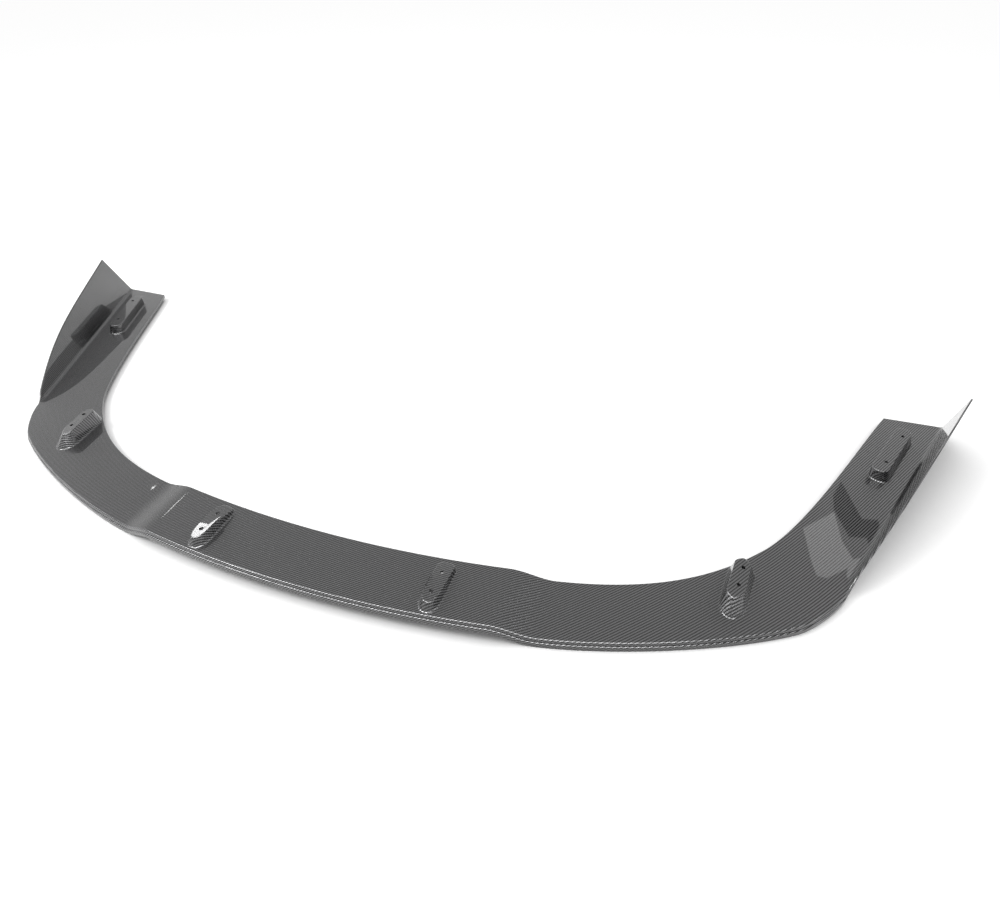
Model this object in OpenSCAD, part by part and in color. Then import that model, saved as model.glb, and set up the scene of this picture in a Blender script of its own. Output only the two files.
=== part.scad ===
// Front splitter lip: one moulded laminate with a turned-down front edge,
// a winglet on each arm and six hollow pods that take the screws.
// The front points to -Y, the width runs along X, and the lip lies on the plane Z = 0.
// Plan positions are given for the right half, and the left half mirrors it.

/* [Overall] */
// Width between the winglet roots at the rear ends of the arms
root_span = 1800; // [1700:10:2000]
// Depth from the front edge to the rear ends of the arms
depth = 700; // [640:10:800]
// Thickness of the laminate
laminate_t = 3; // [2:0.25:4]

/* [Blade] */
// Radius of the front edge across the middle, in plan
front_r = 1760; // [1400:20:2400]
// Width of the blade at the middle
blade_w = 104; // [94:1:130]
// Width of the blade at the rear end of an arm
arm_w = 96; // [84:1:120]
// Height of the middle stretch above the two sides
middle_rise = 15; // [6:1:22]
// Half-width of the raised middle stretch
middle_x = 265; // [235:5:290]
// Width of the slope beside the raised stretch
slope_w = 65; // [40:5:90]
// Depth of the stiffening rim along the inner edge
rim_h = 7; // [5:0.5:10]

/* [Front edge] */
// Height of the turned-down front edge
edge_h = 14; // [12:1:20]
// Radius between the top face and the front edge
edge_r = 2.5; // [1.5:0.25:4]
// How far the lower bead stands out from the front edge
bead_out = 2; // [1:0.25:3]
// Depth of the bead's top below the top face
bead_drop = 6; // [5:0.5:8]

/* [Corner] */
// Distance of the corner from the middle plane
corner_x = 650; // [620:5:670]
// Distance of the corner behind the front edge
corner_back = 157; // [145:1:170]
// Direction of the edge at the corner, from X
corner_a = 33; // [28:1:38]
// Distance of the inner bend from the middle plane
bend_x = 603.5; // [590:0.5:615]
// Distance of the inner bend behind the front edge
bend_back = 288; // [278:1:300]
// Direction of the inner edge at the bend, from X
bend_a = 49.5; // [44:0.5:54]

/* [Winglet] */
// Distance of the winglet's front end from the middle plane
wing_x = 710; // [695:5:725]
// Distance of the winglet's front end behind the front edge
wing_back = 239; // [230:1:260]
// Height of the winglet's tip above the blade
wing_h = 95; // [60:1:120]
// How far the winglet's rear edge leans forward at the tip
wing_rake = 43; // [10:1:70]
// Outward lean of the winglet
wing_lean = 12; // [4:1:18]
// Steepness of the winglet's top edge where it starts
wing_start_a = 24.5; // [18:0.5:30]
// Slope of the winglet's top edge at the tip
wing_tip_a = 6.5; // [2:0.5:12]
// Radius of the corner between blade and winglet
root_r = 5; // [3:0.5:8]

/* [Pods] */
// Diameter of the screw holes
screw_d = 6; // [4:0.5:8]
// Radius of the fillet at a pod's foot
foot_r = 3; // [2:0.5:4]
// Draft of the pod walls
pod_draft = 9; // [4:1:14]

/* [Middle pods] */
// Distance of a middle pod from the middle plane
middle_pod_x = 181.5; // [150:0.5:205]
// Length of a middle pod's foot
middle_pod_l = 90; // [72:1:92]
// Width of a middle pod's foot
middle_pod_w = 34; // [30:1:44]
// Height of a middle pod at its crease
middle_pod_h = 13.5; // [11:0.5:18]
// Distance between a middle pod's screw holes
middle_pod_pitch = 37; // [28:1:40]

/* [Corner pods] */
// Length of a corner pod's foot
corner_pod_l = 104; // [90:1:112]
// Width of a corner pod's foot
corner_pod_w = 40; // [36:1:48]
// Height of a corner pod at its crease
corner_pod_h = 23; // [18:0.5:28]
// Distance between a corner pod's screw holes
corner_pod_pitch = 33; // [28:1:40]

/* [Rear pods] */
// Length of a rear pod's foot
rear_pod_l = 158; // [130:1:166]
// Width of a rear pod's foot
rear_pod_w = 37; // [30:1:42]
// Height of a rear pod
rear_pod_h = 19; // [13:0.5:24]
// Distance between a rear pod's screw holes
rear_pod_pitch = 91; // [70:1:100]

/* [Hidden] */

front_y = -depth / 2;
rear_y = depth / 2;
slope_x = middle_x + slope_w;
slope_a = asin(slope_x / front_r);
cut = 0.6;                       // chamfer on the inner edge
bead_round = 1.5;                // rounding on top of the bead
flange_t = laminate_t + bead_out;

// Key points of the plan, each [x, y]
outer_side = [slope_x, sag(slope_x) + front_y];
inner_side = [slope_x, sag(slope_x) + front_y + blade_w];
corner = [corner_x, front_y + corner_back];
bend = [bend_x, front_y + bend_back];
root_front = [wing_x, front_y + wing_back];
root_rear = [root_span / 2, rear_y];
inner_rear = [root_span / 2 - arm_w, rear_y];

root_l = norm(root_rear - root_front);
root_dir = (root_rear - root_front) / root_l;
root_out = [root_dir.y, -root_dir.x];
root_a = atan2(root_dir.y, root_dir.x);
wing_end = root_front + root_out * flange_t;

// Lengths of the curve handles
side_reach = 90;
corner_reach = 107;
turn_reach = 26;
inner_reach = 141;
bend_reach = 96;
arm_reach = 105;
arm_end_a = 64.3;

outer_side_curve = [outer_side, outer_side + heading(slope_a) * side_reach,
                    corner - heading(corner_a) * corner_reach, corner];
outer_turn_curve = [corner, corner + heading(corner_a) * turn_reach,
                    wing_end - heading(root_a) * turn_reach, wing_end];
inner_side_curve = [inner_side, inner_side + heading(slope_a) * inner_reach,
                    bend - heading(bend_a) * bend_reach, bend];
inner_arm_curve = [bend, bend + heading(bend_a) * bend_reach,
                   inner_rear - heading(arm_end_a) * arm_reach, inner_rear];

// Top edge of the winglet: distance along the root against height
wing_top_l = root_l - wing_rake;
wing_start_reach = 1.62 * wing_h;
wing_tip_reach = 0.53 * wing_top_l;
wing_curve = [[0, 0], heading(wing_start_a) * wing_start_reach,
              [wing_top_l, wing_h] - heading(wing_tip_a) * wing_tip_reach,
              [wing_top_l, wing_h]];
wing_blend_l = 30;               // length over which the edge grows into the winglet
pair_at = 0.8;                   // place on the inner side curve opposite the corner

function heading(a) = [cos(a), sin(a)];
function mix(a, b, t) = a * (1 - t) + b * t;
function clamp(t) = min(1, max(0, t));
function smooth(t) = let (k = clamp(t)) k * k * (3 - 2 * k);
function bezier(p, t) = pow(1 - t, 3) * p[0] + 3 * t * pow(1 - t, 2) * p[1]
                      + 3 * t * t * (1 - t) * p[2] + pow(t, 3) * p[3];
function sag(x) = front_r - sqrt(front_r * front_r - x * x);

// Height of the top face at a distance x from the middle plane
function top_z(x) = edge_h + middle_rise * (1 - smooth((abs(x) - middle_x) / slope_w));

// Places along the lip are counted by s: 0 middle, 1 end of the slope, 2 corner,
// 3 front of the winglet, 4 rear end of the arm
function wing_at(s) = bezier(wing_curve, clamp(s - 3));
function root_u(s) = wing_at(s).x * root_l / wing_top_l;
function outer_pt(s) =
    s <= 1 ? [s * slope_x, sag(s * slope_x) + front_y]
    : s <= 2 ? bezier(outer_side_curve, s - 1)
    : s <= 3 ? bezier(outer_turn_curve, s - 2)
    : wing_end + root_dir * root_u(s);
function inner_pt(s) =
    s <= 1 ? [s * slope_x, sag(s * slope_x) + front_y + blade_w]
    : s <= 2 ? bezier(inner_side_curve, (s - 1) * pair_at)
    : s <= 3 ? bezier(inner_side_curve, mix(pair_at, 1, s - 2))
    : bezier(inner_arm_curve, root_u(s) / root_l);

// Unit vectors from an edge toward the middle of the blade
step = 0.004;                    // share of a stretch used to read an edge's direction
function turn_left(v) = [-v.y, v.x] / norm(v);
function outer_in(s) = s >= 3 ? -root_out
    : turn_left(outer_pt(s + step) - outer_pt(max(0, s - step)));
function inner_in(s) =
    -turn_left(inner_pt(min(4, s + step)) - inner_pt(max(0, s - step)));

// Outer profile of a plain stretch: [distance in from the bead, height over the top face]
round_steps = 6;
function plain_profile() = [for (k = [0 : round_steps]) let (a = 90 * k / round_steps)
    [bead_out + edge_r * (1 - sin(a)), -edge_r * (1 - cos(a))]];

// The same points where the winglet stands, for a winglet of height h
root_share = 0.4;                // largest part of the height that the root radius takes
root_mid_a = 45;
function wing_profile(h) = let (r = min(root_r, h * root_share), lean = tan(wing_lean),
                                foot = flange_t, half = laminate_t / 2) [
    [foot + r, 0],
    [foot + r * (1 - sin(root_mid_a)), r * (1 - cos(root_mid_a))],
    [foot - lean * r, r],
    [foot - lean * h, h],
    [foot - lean * h - half, h + half / 2],
    [foot - lean * h - laminate_t, h],
    [bead_out, -edge_r]];
function upper_profile(s) = let (p = plain_profile())
    s <= 3 ? p : let (w = smooth(root_u(s) / wing_blend_l), q = wing_profile(wing_at(s).y))
    [for (k = [0 : round_steps]) mix(p[k], q[k], w)];
function lower_profile() = [
    [bead_out, -bead_drop],
    [0, -bead_drop - bead_round],
    [0, -edge_h],
    [flange_t, -edge_h],
    [flange_t, -laminate_t]];
function inner_profile() = [
    [laminate_t, -laminate_t],
    [laminate_t, -rim_h],
    [0, -rim_h],
    [0, -cut],
    [cut, 0]];

// One cross-section as 3-D points; side is 1 on the right and -1 on the left
function lift(p, z, side) = [side * p.x, p.y, top_z(p.x) + z];
function lean_back(s, z) = s <= 3 || z <= 0 ? 0
    : wing_rake * z / wing_h * root_u(s) / root_l;
function section(s, side) = let (o = outer_pt(s), i = inner_pt(s),
                                 on = outer_in(s), inn = inner_in(s)) concat(
    [for (q = concat(upper_profile(s), lower_profile()))
        lift(o + on * q.x - root_dir * lean_back(s, q.y), q.y, side)],
    [for (q = inner_profile()) lift(i + inn * q.x, q.y, side)]);

// Stations from the middle to the rear end, closer where the form changes faster
flat_steps = 5;
slope_steps = 6;
side_steps = 7;
turn_steps = 7;
arm_steps = 18;
half_stations = concat(
    [for (k = [1 : flat_steps]) k / flat_steps * middle_x / slope_x],
    [for (k = [1 : slope_steps]) mix(middle_x, slope_x, k / slope_steps) / slope_x],
    [for (k = [1 : side_steps]) 1 + k / side_steps],
    [for (k = [1 : turn_steps]) 2 + k / turn_steps],
    [for (k = [1 : arm_steps]) 3 + k / arm_steps]);
sections = concat(
    [for (k = [len(half_stations) - 1 : -1 : 0]) section(half_stations[k], -1)],
    [section(0, 1)],
    [for (s = half_stations) section(s, 1)]);

// Closed solid through rings of equally many points; cap lists the faces of an uneven end
module loft(rings, cap = []) {
    n = len(rings[0]);
    m = len(rings);
    first = len(cap) > 0 ? cap : [[for (k = [0 : n - 1]) k]];
    polyhedron(
        points = [for (r = rings) each r],
        faces = concat(
            first,
            [for (f = first) [for (k = [len(f) - 1 : -1 : 0]) (m - 1) * n + f[k]]],
            [for (j = [0 : m - 2], k = [0 : n - 1]) let (l = (k + 1) % n)
                each [[j * n + k, (j + 1) * n + k, j * n + l],
                      [j * n + l, (j + 1) * n + k, (j + 1) * n + l]]]));
}

// End of an arm: winglet, its root, the front edge, the blade and the rim
arm_end = [[2, 3, 5], [3, 4, 5], [2, 5, 6], [1, 2, 6], [1, 6, 11], [0, 1, 11],
           [6, 7, 11], [7, 8, 11], [8, 10, 11], [8, 9, 10],
           [0, 11, 12], [0, 12, 16], [12, 15, 16], [12, 14, 15], [12, 13, 14]];

module blade() {
    loft(sections, arm_end);
}

// Places of the pods, counted along the lip and across it from the outer edge
middle_pod_s = middle_pod_x / slope_x;
middle_pod_across = 0.49;
corner_pod_s = 1.88;
corner_pod_across = 0.65;
corner_pod_turn = 8;
rear_pod_s = 3.79;
rear_pod_across = 0.5;
function pod_place(s, across, turn) = [mix(outer_pt(s), inner_pt(s), across), turn];

// Form of a pod. Lengths run from its middle toward its tail.
// foot_ends, top_ends: length of the rounded nose, of the rounded tail, and sharpness of both
// draft: slope of the walls
// rakes: how far nose and tail lean in, and shift: how far the pod leans inward, per unit of height
// skew: how much farther back the outer half of the nose lies, per unit of height and width
// crease: place and direction of the crease on top, fall before it and fall behind it
// side_fall: slope of the top across the pod
// holes: places of the screw holes
function pod_form(place, size, foot_ends, top_ends, draft, rakes, shift, skew, crease, side_fall,
                  holes) =
    [place, size, foot_ends, top_ends, draft, rakes, shift, skew, crease, side_fall, holes];
middle_pod = pod_form(
    place = pod_place(middle_pod_s, middle_pod_across, 0),
    size = [middle_pod_l, middle_pod_w, middle_pod_h],
    foot_ends = [middle_pod_l / 3, middle_pod_w / 3, 0.8],
    top_ends = [middle_pod_l / 3, middle_pod_w / 3, 0.8],
    draft = pod_draft + 6,
    rakes = [0.25, 0],
    shift = 0,
    skew = 0,
    crease = [-2, 28, 0, 10],
    side_fall = 3,
    holes = [-middle_pod_l / 5, -middle_pod_l / 5 + middle_pod_pitch]);
corner_pod = pod_form(
    place = pod_place(corner_pod_s, corner_pod_across, corner_pod_turn),
    size = [corner_pod_l, corner_pod_w, corner_pod_h],
    foot_ends = [corner_pod_l * 0.29, corner_pod_w * 0.4, 0.9],
    top_ends = [corner_pod_l * 0.14, corner_pod_w * 0.28, 1.4],
    draft = pod_draft + 7,
    rakes = [0.53, 0.01],
    shift = 0.1,
    skew = 0.024,
    crease = [15, 54, 2.7, 0.5],
    side_fall = 7.5,
    holes = [-corner_pod_l / 12, -corner_pod_l / 12 + corner_pod_pitch]);
rear_pod = pod_form(
    place = pod_place(rear_pod_s, rear_pod_across, 90 - root_a),
    size = [rear_pod_l, rear_pod_w, rear_pod_h],
    foot_ends = [rear_pod_w * 0.43, rear_pod_w * 0.43, 0.8],
    top_ends = [rear_pod_w * 0.43, rear_pod_w * 0.43, 0.8],
    draft = pod_draft,
    rakes = [0, 0],
    shift = 0.15,
    skew = 0,
    crease = [0, 0, 0, 0],
    side_fall = 0,
    holes = [-rear_pod_l * 0.27, -rear_pod_l * 0.27 + rear_pod_pitch]);

// Outline of a pod at a height, drawn in by inset: nose toward -Y, tail toward +Y
arc_steps = 6;
turns = [for (k = [0 : arc_steps]) 90 * k / arc_steps];
function nose_pt(pod, inset, up, side, t) = let (
    ends = mix(pod[2], pod[3], up / (pod[1][2] - foot_r)),
    x = side * (pod[1][1] / 2 - inset) * pow(sin(t), ends[2]))
    [x - pod[6] * up,
     inset - pod[1][0] / 2 + pod[5][0] * up + ends[0] * (1 - pow(cos(t), ends[2]))
         + pod[7] * x * up];
function tail_pt(pod, inset, up, side, t) = let (
    ends = mix(pod[2], pod[3], up / (pod[1][2] - foot_r)))
    [side * (pod[1][1] / 2 - inset) * pow(sin(t), ends[2]) - pod[6] * up,
     pod[1][0] / 2 - inset - pod[5][1] * up - ends[1] * (1 - pow(cos(t), ends[2]))];
function pod_outline(pod, inset, z) = let (up = max(0, z - foot_r)) [for (q = concat(
    [for (k = [0 : arc_steps]) nose_pt(pod, inset, up, 1, turns[k])],
    [for (k = [arc_steps : -1 : 0]) tail_pt(pod, inset, up, 1, turns[k])],
    [for (k = [1 : arc_steps]) tail_pt(pod, inset, up, -1, turns[k])],
    [for (k = [arc_steps : -1 : 1]) nose_pt(pod, inset, up, -1, turns[k])])) [q.x, q.y, z]];
function pod_rings(pod, rings) = [for (r = rings) pod_outline(pod, r[0], r[1])];

// Space below a pod's top: two planes that meet along a crease
module under_top(pod, drop) {
    reach = pod[1][0];
    crease = pod[8];
    translate([0, crease[0], pod[1][2] - drop / cos(pod[9])])
        rotate([0, pod[9], 0]) rotate([0, 0, crease[1]]) rotate([90, 0, 90])
            linear_extrude(height = 2 * reach, center = true) polygon([
                [-reach, -reach],
                [reach, -reach],
                [reach, -reach * tan(crease[3])],
                [0, 0],
                [-reach, -reach * tan(crease[2])]]);
}

over = 6;                        // how far the walls run past the top before they are cut
fillet_step = 30;
function wall_in(pod, z) = foot_r + (z - foot_r) * tan(pod[4]);

module pod_body(pod) {
    top = pod[1][2] + over;
    intersection() {
        loft(pod_rings(pod, concat(
            [[0, -laminate_t / 2]],
            [for (a = [fillet_step : fillet_step : 90]) foot_r * [sin(a), 1 - cos(a)]],
            [[wall_in(pod, top), top]])));
        under_top(pod, 0);
    }
}

module pod_space(pod) {
    top = pod[1][2] + over;
    intersection() {
        loft(pod_rings(pod, [[foot_r + laminate_t, -2 * laminate_t],
                             [foot_r + laminate_t, foot_r],
                             [wall_in(pod, top) + laminate_t, top]]));
        under_top(pod, laminate_t);
    }
    for (y = pod[10]) translate([0, y, 0]) cylinder(h = top + over, d = screw_d, $fn = 32);
}

module at_place(pod) {
    place = pod[0][0];
    translate([place.x, place.y, top_z(place.x)]) rotate([0, 0, -pod[0][1]]) children();
}

module both_sides() {
    children();
    mirror([1, 0, 0]) children();
}

pods = [middle_pod, corner_pod, rear_pod];
module splitter_lip() {
    color([0.16, 0.16, 0.17]) difference() {
        union() {
            blade();
            both_sides() for (pod = pods) at_place(pod) pod_body(pod);
        }
        both_sides() for (pod = pods) at_place(pod) pod_space(pod);
    }
}

splitter_lip();
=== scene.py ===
import math

import bmesh
import bpy
import numpy as np
from bpy.props import (
    FloatProperty,
    FloatVectorProperty,
    IntProperty,
    PointerProperty,
)
from bpy.types import Operator, Panel, PropertyGroup
from mathutils import Euler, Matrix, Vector


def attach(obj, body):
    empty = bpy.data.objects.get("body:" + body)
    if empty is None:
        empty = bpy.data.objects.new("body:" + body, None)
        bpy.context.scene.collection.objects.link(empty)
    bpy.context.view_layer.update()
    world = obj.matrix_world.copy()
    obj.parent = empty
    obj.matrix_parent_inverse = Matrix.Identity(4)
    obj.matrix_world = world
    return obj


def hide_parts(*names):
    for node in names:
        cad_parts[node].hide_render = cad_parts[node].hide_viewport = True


bl_info = {
    "name": "Front splitter lip",
    "version": (1, 0, 0),
    "blender": (4, 5, 0),
    "location": "View3D > Sidebar > Splitter",
    "description": "Glossy woven front splitter lip with winglets and screw pods",
    "category": "Object",
}

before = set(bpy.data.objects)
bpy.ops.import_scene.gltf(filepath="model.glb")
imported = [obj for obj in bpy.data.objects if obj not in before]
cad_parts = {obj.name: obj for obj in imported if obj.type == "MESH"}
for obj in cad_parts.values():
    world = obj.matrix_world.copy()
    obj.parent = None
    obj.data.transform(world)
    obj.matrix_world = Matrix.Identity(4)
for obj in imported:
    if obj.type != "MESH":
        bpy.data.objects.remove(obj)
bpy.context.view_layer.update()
LIP = "splitter_lip"


class LipSettings(PropertyGroup):
    """Sizes of the lip. They repeat the solid model's."""

    span: FloatProperty(
        name="Span",
        description="Width between the winglet roots at the rear ends of the arms",
        default=1.8,
        unit="LENGTH",
    )
    depth: FloatProperty(
        name="Depth",
        description="Depth from the front edge to the rear ends of the arms",
        default=0.7,
        unit="LENGTH",
    )
    laminate: FloatProperty(
        name="Laminate",
        description="Thickness of the laminate",
        default=0.003,
        unit="LENGTH",
    )
    middle_rise: FloatProperty(
        name="Middle rise",
        description="Height of the middle stretch above the two sides",
        default=0.015,
        unit="LENGTH",
    )
    edge_height: FloatProperty(
        name="Edge height",
        description="Height of the turned-down front edge",
        default=0.014,
        unit="LENGTH",
    )
    wing_height: FloatProperty(
        name="Winglet height",
        description="Height of the winglet's tip above the blade",
        default=0.095,
        unit="LENGTH",
    )
    pod_edge: FloatProperty(
        name="Pod edge radius",
        description="Radius of the edge around the top of a pod",
        default=0.0012,
        unit="LENGTH",
    )
    arm_steps: IntProperty(
        name="Arm steps",
        description="Cross-sections along the straight part of an arm",
        default=60,
    )


class WeaveSettings(PropertyGroup):
    """Look of the woven laminate and its clear coat."""

    tow: FloatProperty(
        name="Tow width",
        description="Width of one bundle of fibres",
        default=0.00127,
        unit="LENGTH",
    )
    # Fibres along and across: the fibres' dark tone with painted sheen, so the bundles along the
    # lip are painted far lighter than those across it
    along: FloatVectorProperty(
        name="Fibres along",
        description="Colour of the bundles that run along the lip",
        subtype="COLOR",
        size=3,
        default=(0.125, 0.125, 0.128),
    )
    across: FloatVectorProperty(
        name="Fibres across",
        description="Colour of the bundles that run across the lip",
        subtype="COLOR",
        size=3,
        default=(0.006, 0.006, 0.006),
    )
    relief: FloatProperty(
        name="Relief",
        description="Height of a bundle's rounded back",
        default=0.0001,
        unit="LENGTH",
    )
    roughness: FloatProperty(
        name="Roughness",
        description="Roughness of the bundles that run across the lip",
        default=0.46,
        subtype="FACTOR",
    )
    smoother: FloatProperty(
        name="Smoother along",
        description="How much smoother the bundles that run along the lip are",
        default=0.08,
        subtype="FACTOR",
    )
    anisotropy: FloatProperty(
        name="Anisotropy",
        description="How far the sheen stretches across the bundles",
        default=0.9,
        subtype="FACTOR",
    )
    coat_roughness: FloatProperty(
        name="Coat roughness",
        description="Roughness of the clear coat",
        default=0.02,
        subtype="FACTOR",
    )


class StageSettings(PropertyGroup):
    """Floor, light and camera."""

    floor: FloatProperty(
        name="Floor",
        description="How pale the floor is",
        default=0.85,
        subtype="FACTOR",
    )
    sky: FloatProperty(
        name="Room level",
        description="How much light the room gives from all sides",
        default=0.5,
    )
    glow: FloatProperty(
        name="Glow",
        description="Extra brightness of the floor as the camera and the gloss see it",
        default=0.55,
        subtype="FACTOR",
    )
    lens: FloatProperty(
        name="Lens",
        description="Focal length of the camera in millimetres",
        default=24.176,
    )
    camera_at: FloatVectorProperty(
        name="Camera",
        description="Place of the camera",
        subtype="TRANSLATION",
        size=3,
        default=(0.4498, -0.8247, 0.7448),
    )


# Down to the weld, lengths are in millimetres and angles in degrees unless a comment differs

# Plan: places of the corner, the bend and the winglet's front, with their headings from +X
FRONT_R = 1760.0
BLADE_W = 104.0
ARM_W = 96.0
MIDDLE_X = 265.0
SLOPE_X = 330.0
CORNER = (650.0, 157.0, 33.0)
BEND = (603.5, 288.0, 49.5)
WING_START = (710.0, 239.0)
# Handles at the start and the end of each curve
OUTER_SIDE_REACH = (90.0, 107.0)
OUTER_TURN_REACH = 26.0
INNER_SIDE_REACH = (141.0, 96.0)
INNER_ARM_REACH = (96.0, 105.0)
INNER_REAR_A = 64.3
# Share of the inner side's curve that lies before the corner
INNER_CORNER = 0.8

# Winglet: the handles of its outline are an angle and a share of its height or length
WING_RAKE = 43.0
WING_LEAN = math.tan(math.radians(12))
WING_FRONT_HANDLE = (24.5, 1.62)
WING_TIP_HANDLE = (6.5, 0.53)
WING_BLEND = 30.0
ROOT_R = 5.0
ROOT_SHARE = 0.4
ROOT_ANGLES = (0, 15, 30, 45, 60, 75, 90)
FACE_SHARES = (0.33, 0.66)
WING_TOP_STEPS = 6

# Front edge, its bead and the rim along the inner edge
EDGE_R = 2.5
EDGE_STEPS = 17
BEAD_OUT = 2.0
BEAD_DROP = 6.0
BEAD_R = 1.9
BEAD_STEPS = 5
# Points above the bead, as a way in and a way up
BEAD_SEAT = ((0.0, 0.7), (0.05, 0.2))
HEEL_R = 0.6
HEEL_STEPS = 3
HEM_R = 0.4
HEM_STEPS = 2
RIM = 7.0
RIM_R = 0.9
RIM_STEPS = 5
RIM_CHAMFER = (0.3, 0.4)

# Pods
FOOT_R = 3.0
FOOT_ANGLES = (0, 18, 36, 54, 72, 90)
POD_STEPS = 9
POD_EDGE_STEPS = 4
SETTLE_ROUNDS = 12
SETTLE_START = 0.8
HOLE_R = 3.0
HOLE_STEPS = 28
# Rounding of a hole's rim, in metres
HOLE_EDGE = 0.0004
HOLE_EDGE_STEPS = 2
EDGE_ROOM = 0.8
PATCH_GROW = 2.5
PATCH_REACH = 130.0

# Mesh
TOP_COLUMNS = 14
UNDER_COLUMNS = 12
MIDDLE_STEPS = 14
SLOPE_STEPS = 16
SIDE_STEPS = 30
TURN_STEPS = 24
ARM_GROWTH = 1.15
CELL_ROW = 1000
# Reach of the weld, in metres
WELD = 1e-6
EDGE_TABLE = 801
SHARP_ANGLE = 32
NORMAL_WEIGHT = 50

# Cloth: how far it is turned at each place along the lip
CLOTH_STEPS = 320
CLOTH_TAIL = 10
CLOTH_TAIL_STEP = 20.0
CLOTH_PLACES = (0, 1, 2, 3, 3.5, 4)
CLOTH_TURNS = (0, 0, 5, 10, 14, 14)
CLOTH_MIDDLE = 40.0
# Twill: steps of one repeat, of which those under the second value run along the lip
TWILL_REPEAT = 4.0
TWILL_ALONG = 1.5

# Camera: size of the picture in pixels and of the sensor in millimetres
PITCH = 38.811
YAW = 18.446
PICTURE = (1000, 900)
SENSOR = 36

# Lamps: name, place, aim, size and power
LEFT_BOX = ("left_box", (-1.73, -1.02, 1.91), (-0.18, -0.32, 0.04), (0.9, 0.9), 30)
TOP_BOX = ("top_box", (0.2, 0.3, 3.0), (0, 0, 0), (2.5, 2.5), 25)
EDGE_BOX = ("edge_box", (0.0, -0.9, 1.8), (0, -0.1, 0), (3.0, 0.9), 90)

# Cards: name, brightness, a point of the face that mirrors them in metres, how far
# that face leans to the left, distance in metres, and outline in picture points
LIGHT_CARD = (
    "light_card", 2.4, (0, 0, 0.014), 0.0, 2.2,
    ((803, 528), (812, 564), (817, 576), (828, 578), (856, 564), (842, 541), (834, 512)),
)
DARK_CARD = (
    "dark_card", 0.1, (0, 0, 0.014), 0.0, 2.2,
    ((833, 496), (834, 510), (849, 537), (866, 538), (883, 520), (862, 519), (841, 481)),
)
FACET_CARD = (
    "facet_card", 14, (-0.1815, -0.2917, 0.0425), 3.0, 5.0,
    ((195, 520), (205, 516), (219, 516), (217, 525), (209, 535), (200, 541), (190, 540)),
)

# Floor: its width and the reach of its painted contact shadow in metres
FLOOR_SIZE = 40
SHADOW_REACH = 0.12
SHADOW_SAMPLES = 8
SHADOW_POWER = 2.0


def heading(angle):
    """Unit vector at an angle."""
    a = math.radians(angle)
    return np.array([math.cos(a), math.sin(a)])


def smooth(t):
    """Goes from 0 to 1 with level ends."""
    k = min(1.0, max(0.0, t))
    return k * k * (3 - 2 * k)


def bezier(p, t):
    """Point of a cubic curve with four control points."""
    return (
        (1 - t) ** 3 * p[0]
        + 3 * t * (1 - t) ** 2 * p[1]
        + 3 * t * t * (1 - t) * p[2]
        + t**3 * p[3]
    )


def round_corner(centre, radius, start, end, steps):
    """Points of a rounding in a section, between two angles."""
    turns = [start + (end - start) * k / steps for k in range(steps + 1)]
    return [tuple(np.array(centre) + radius * heading(a)) for a in turns]


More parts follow.
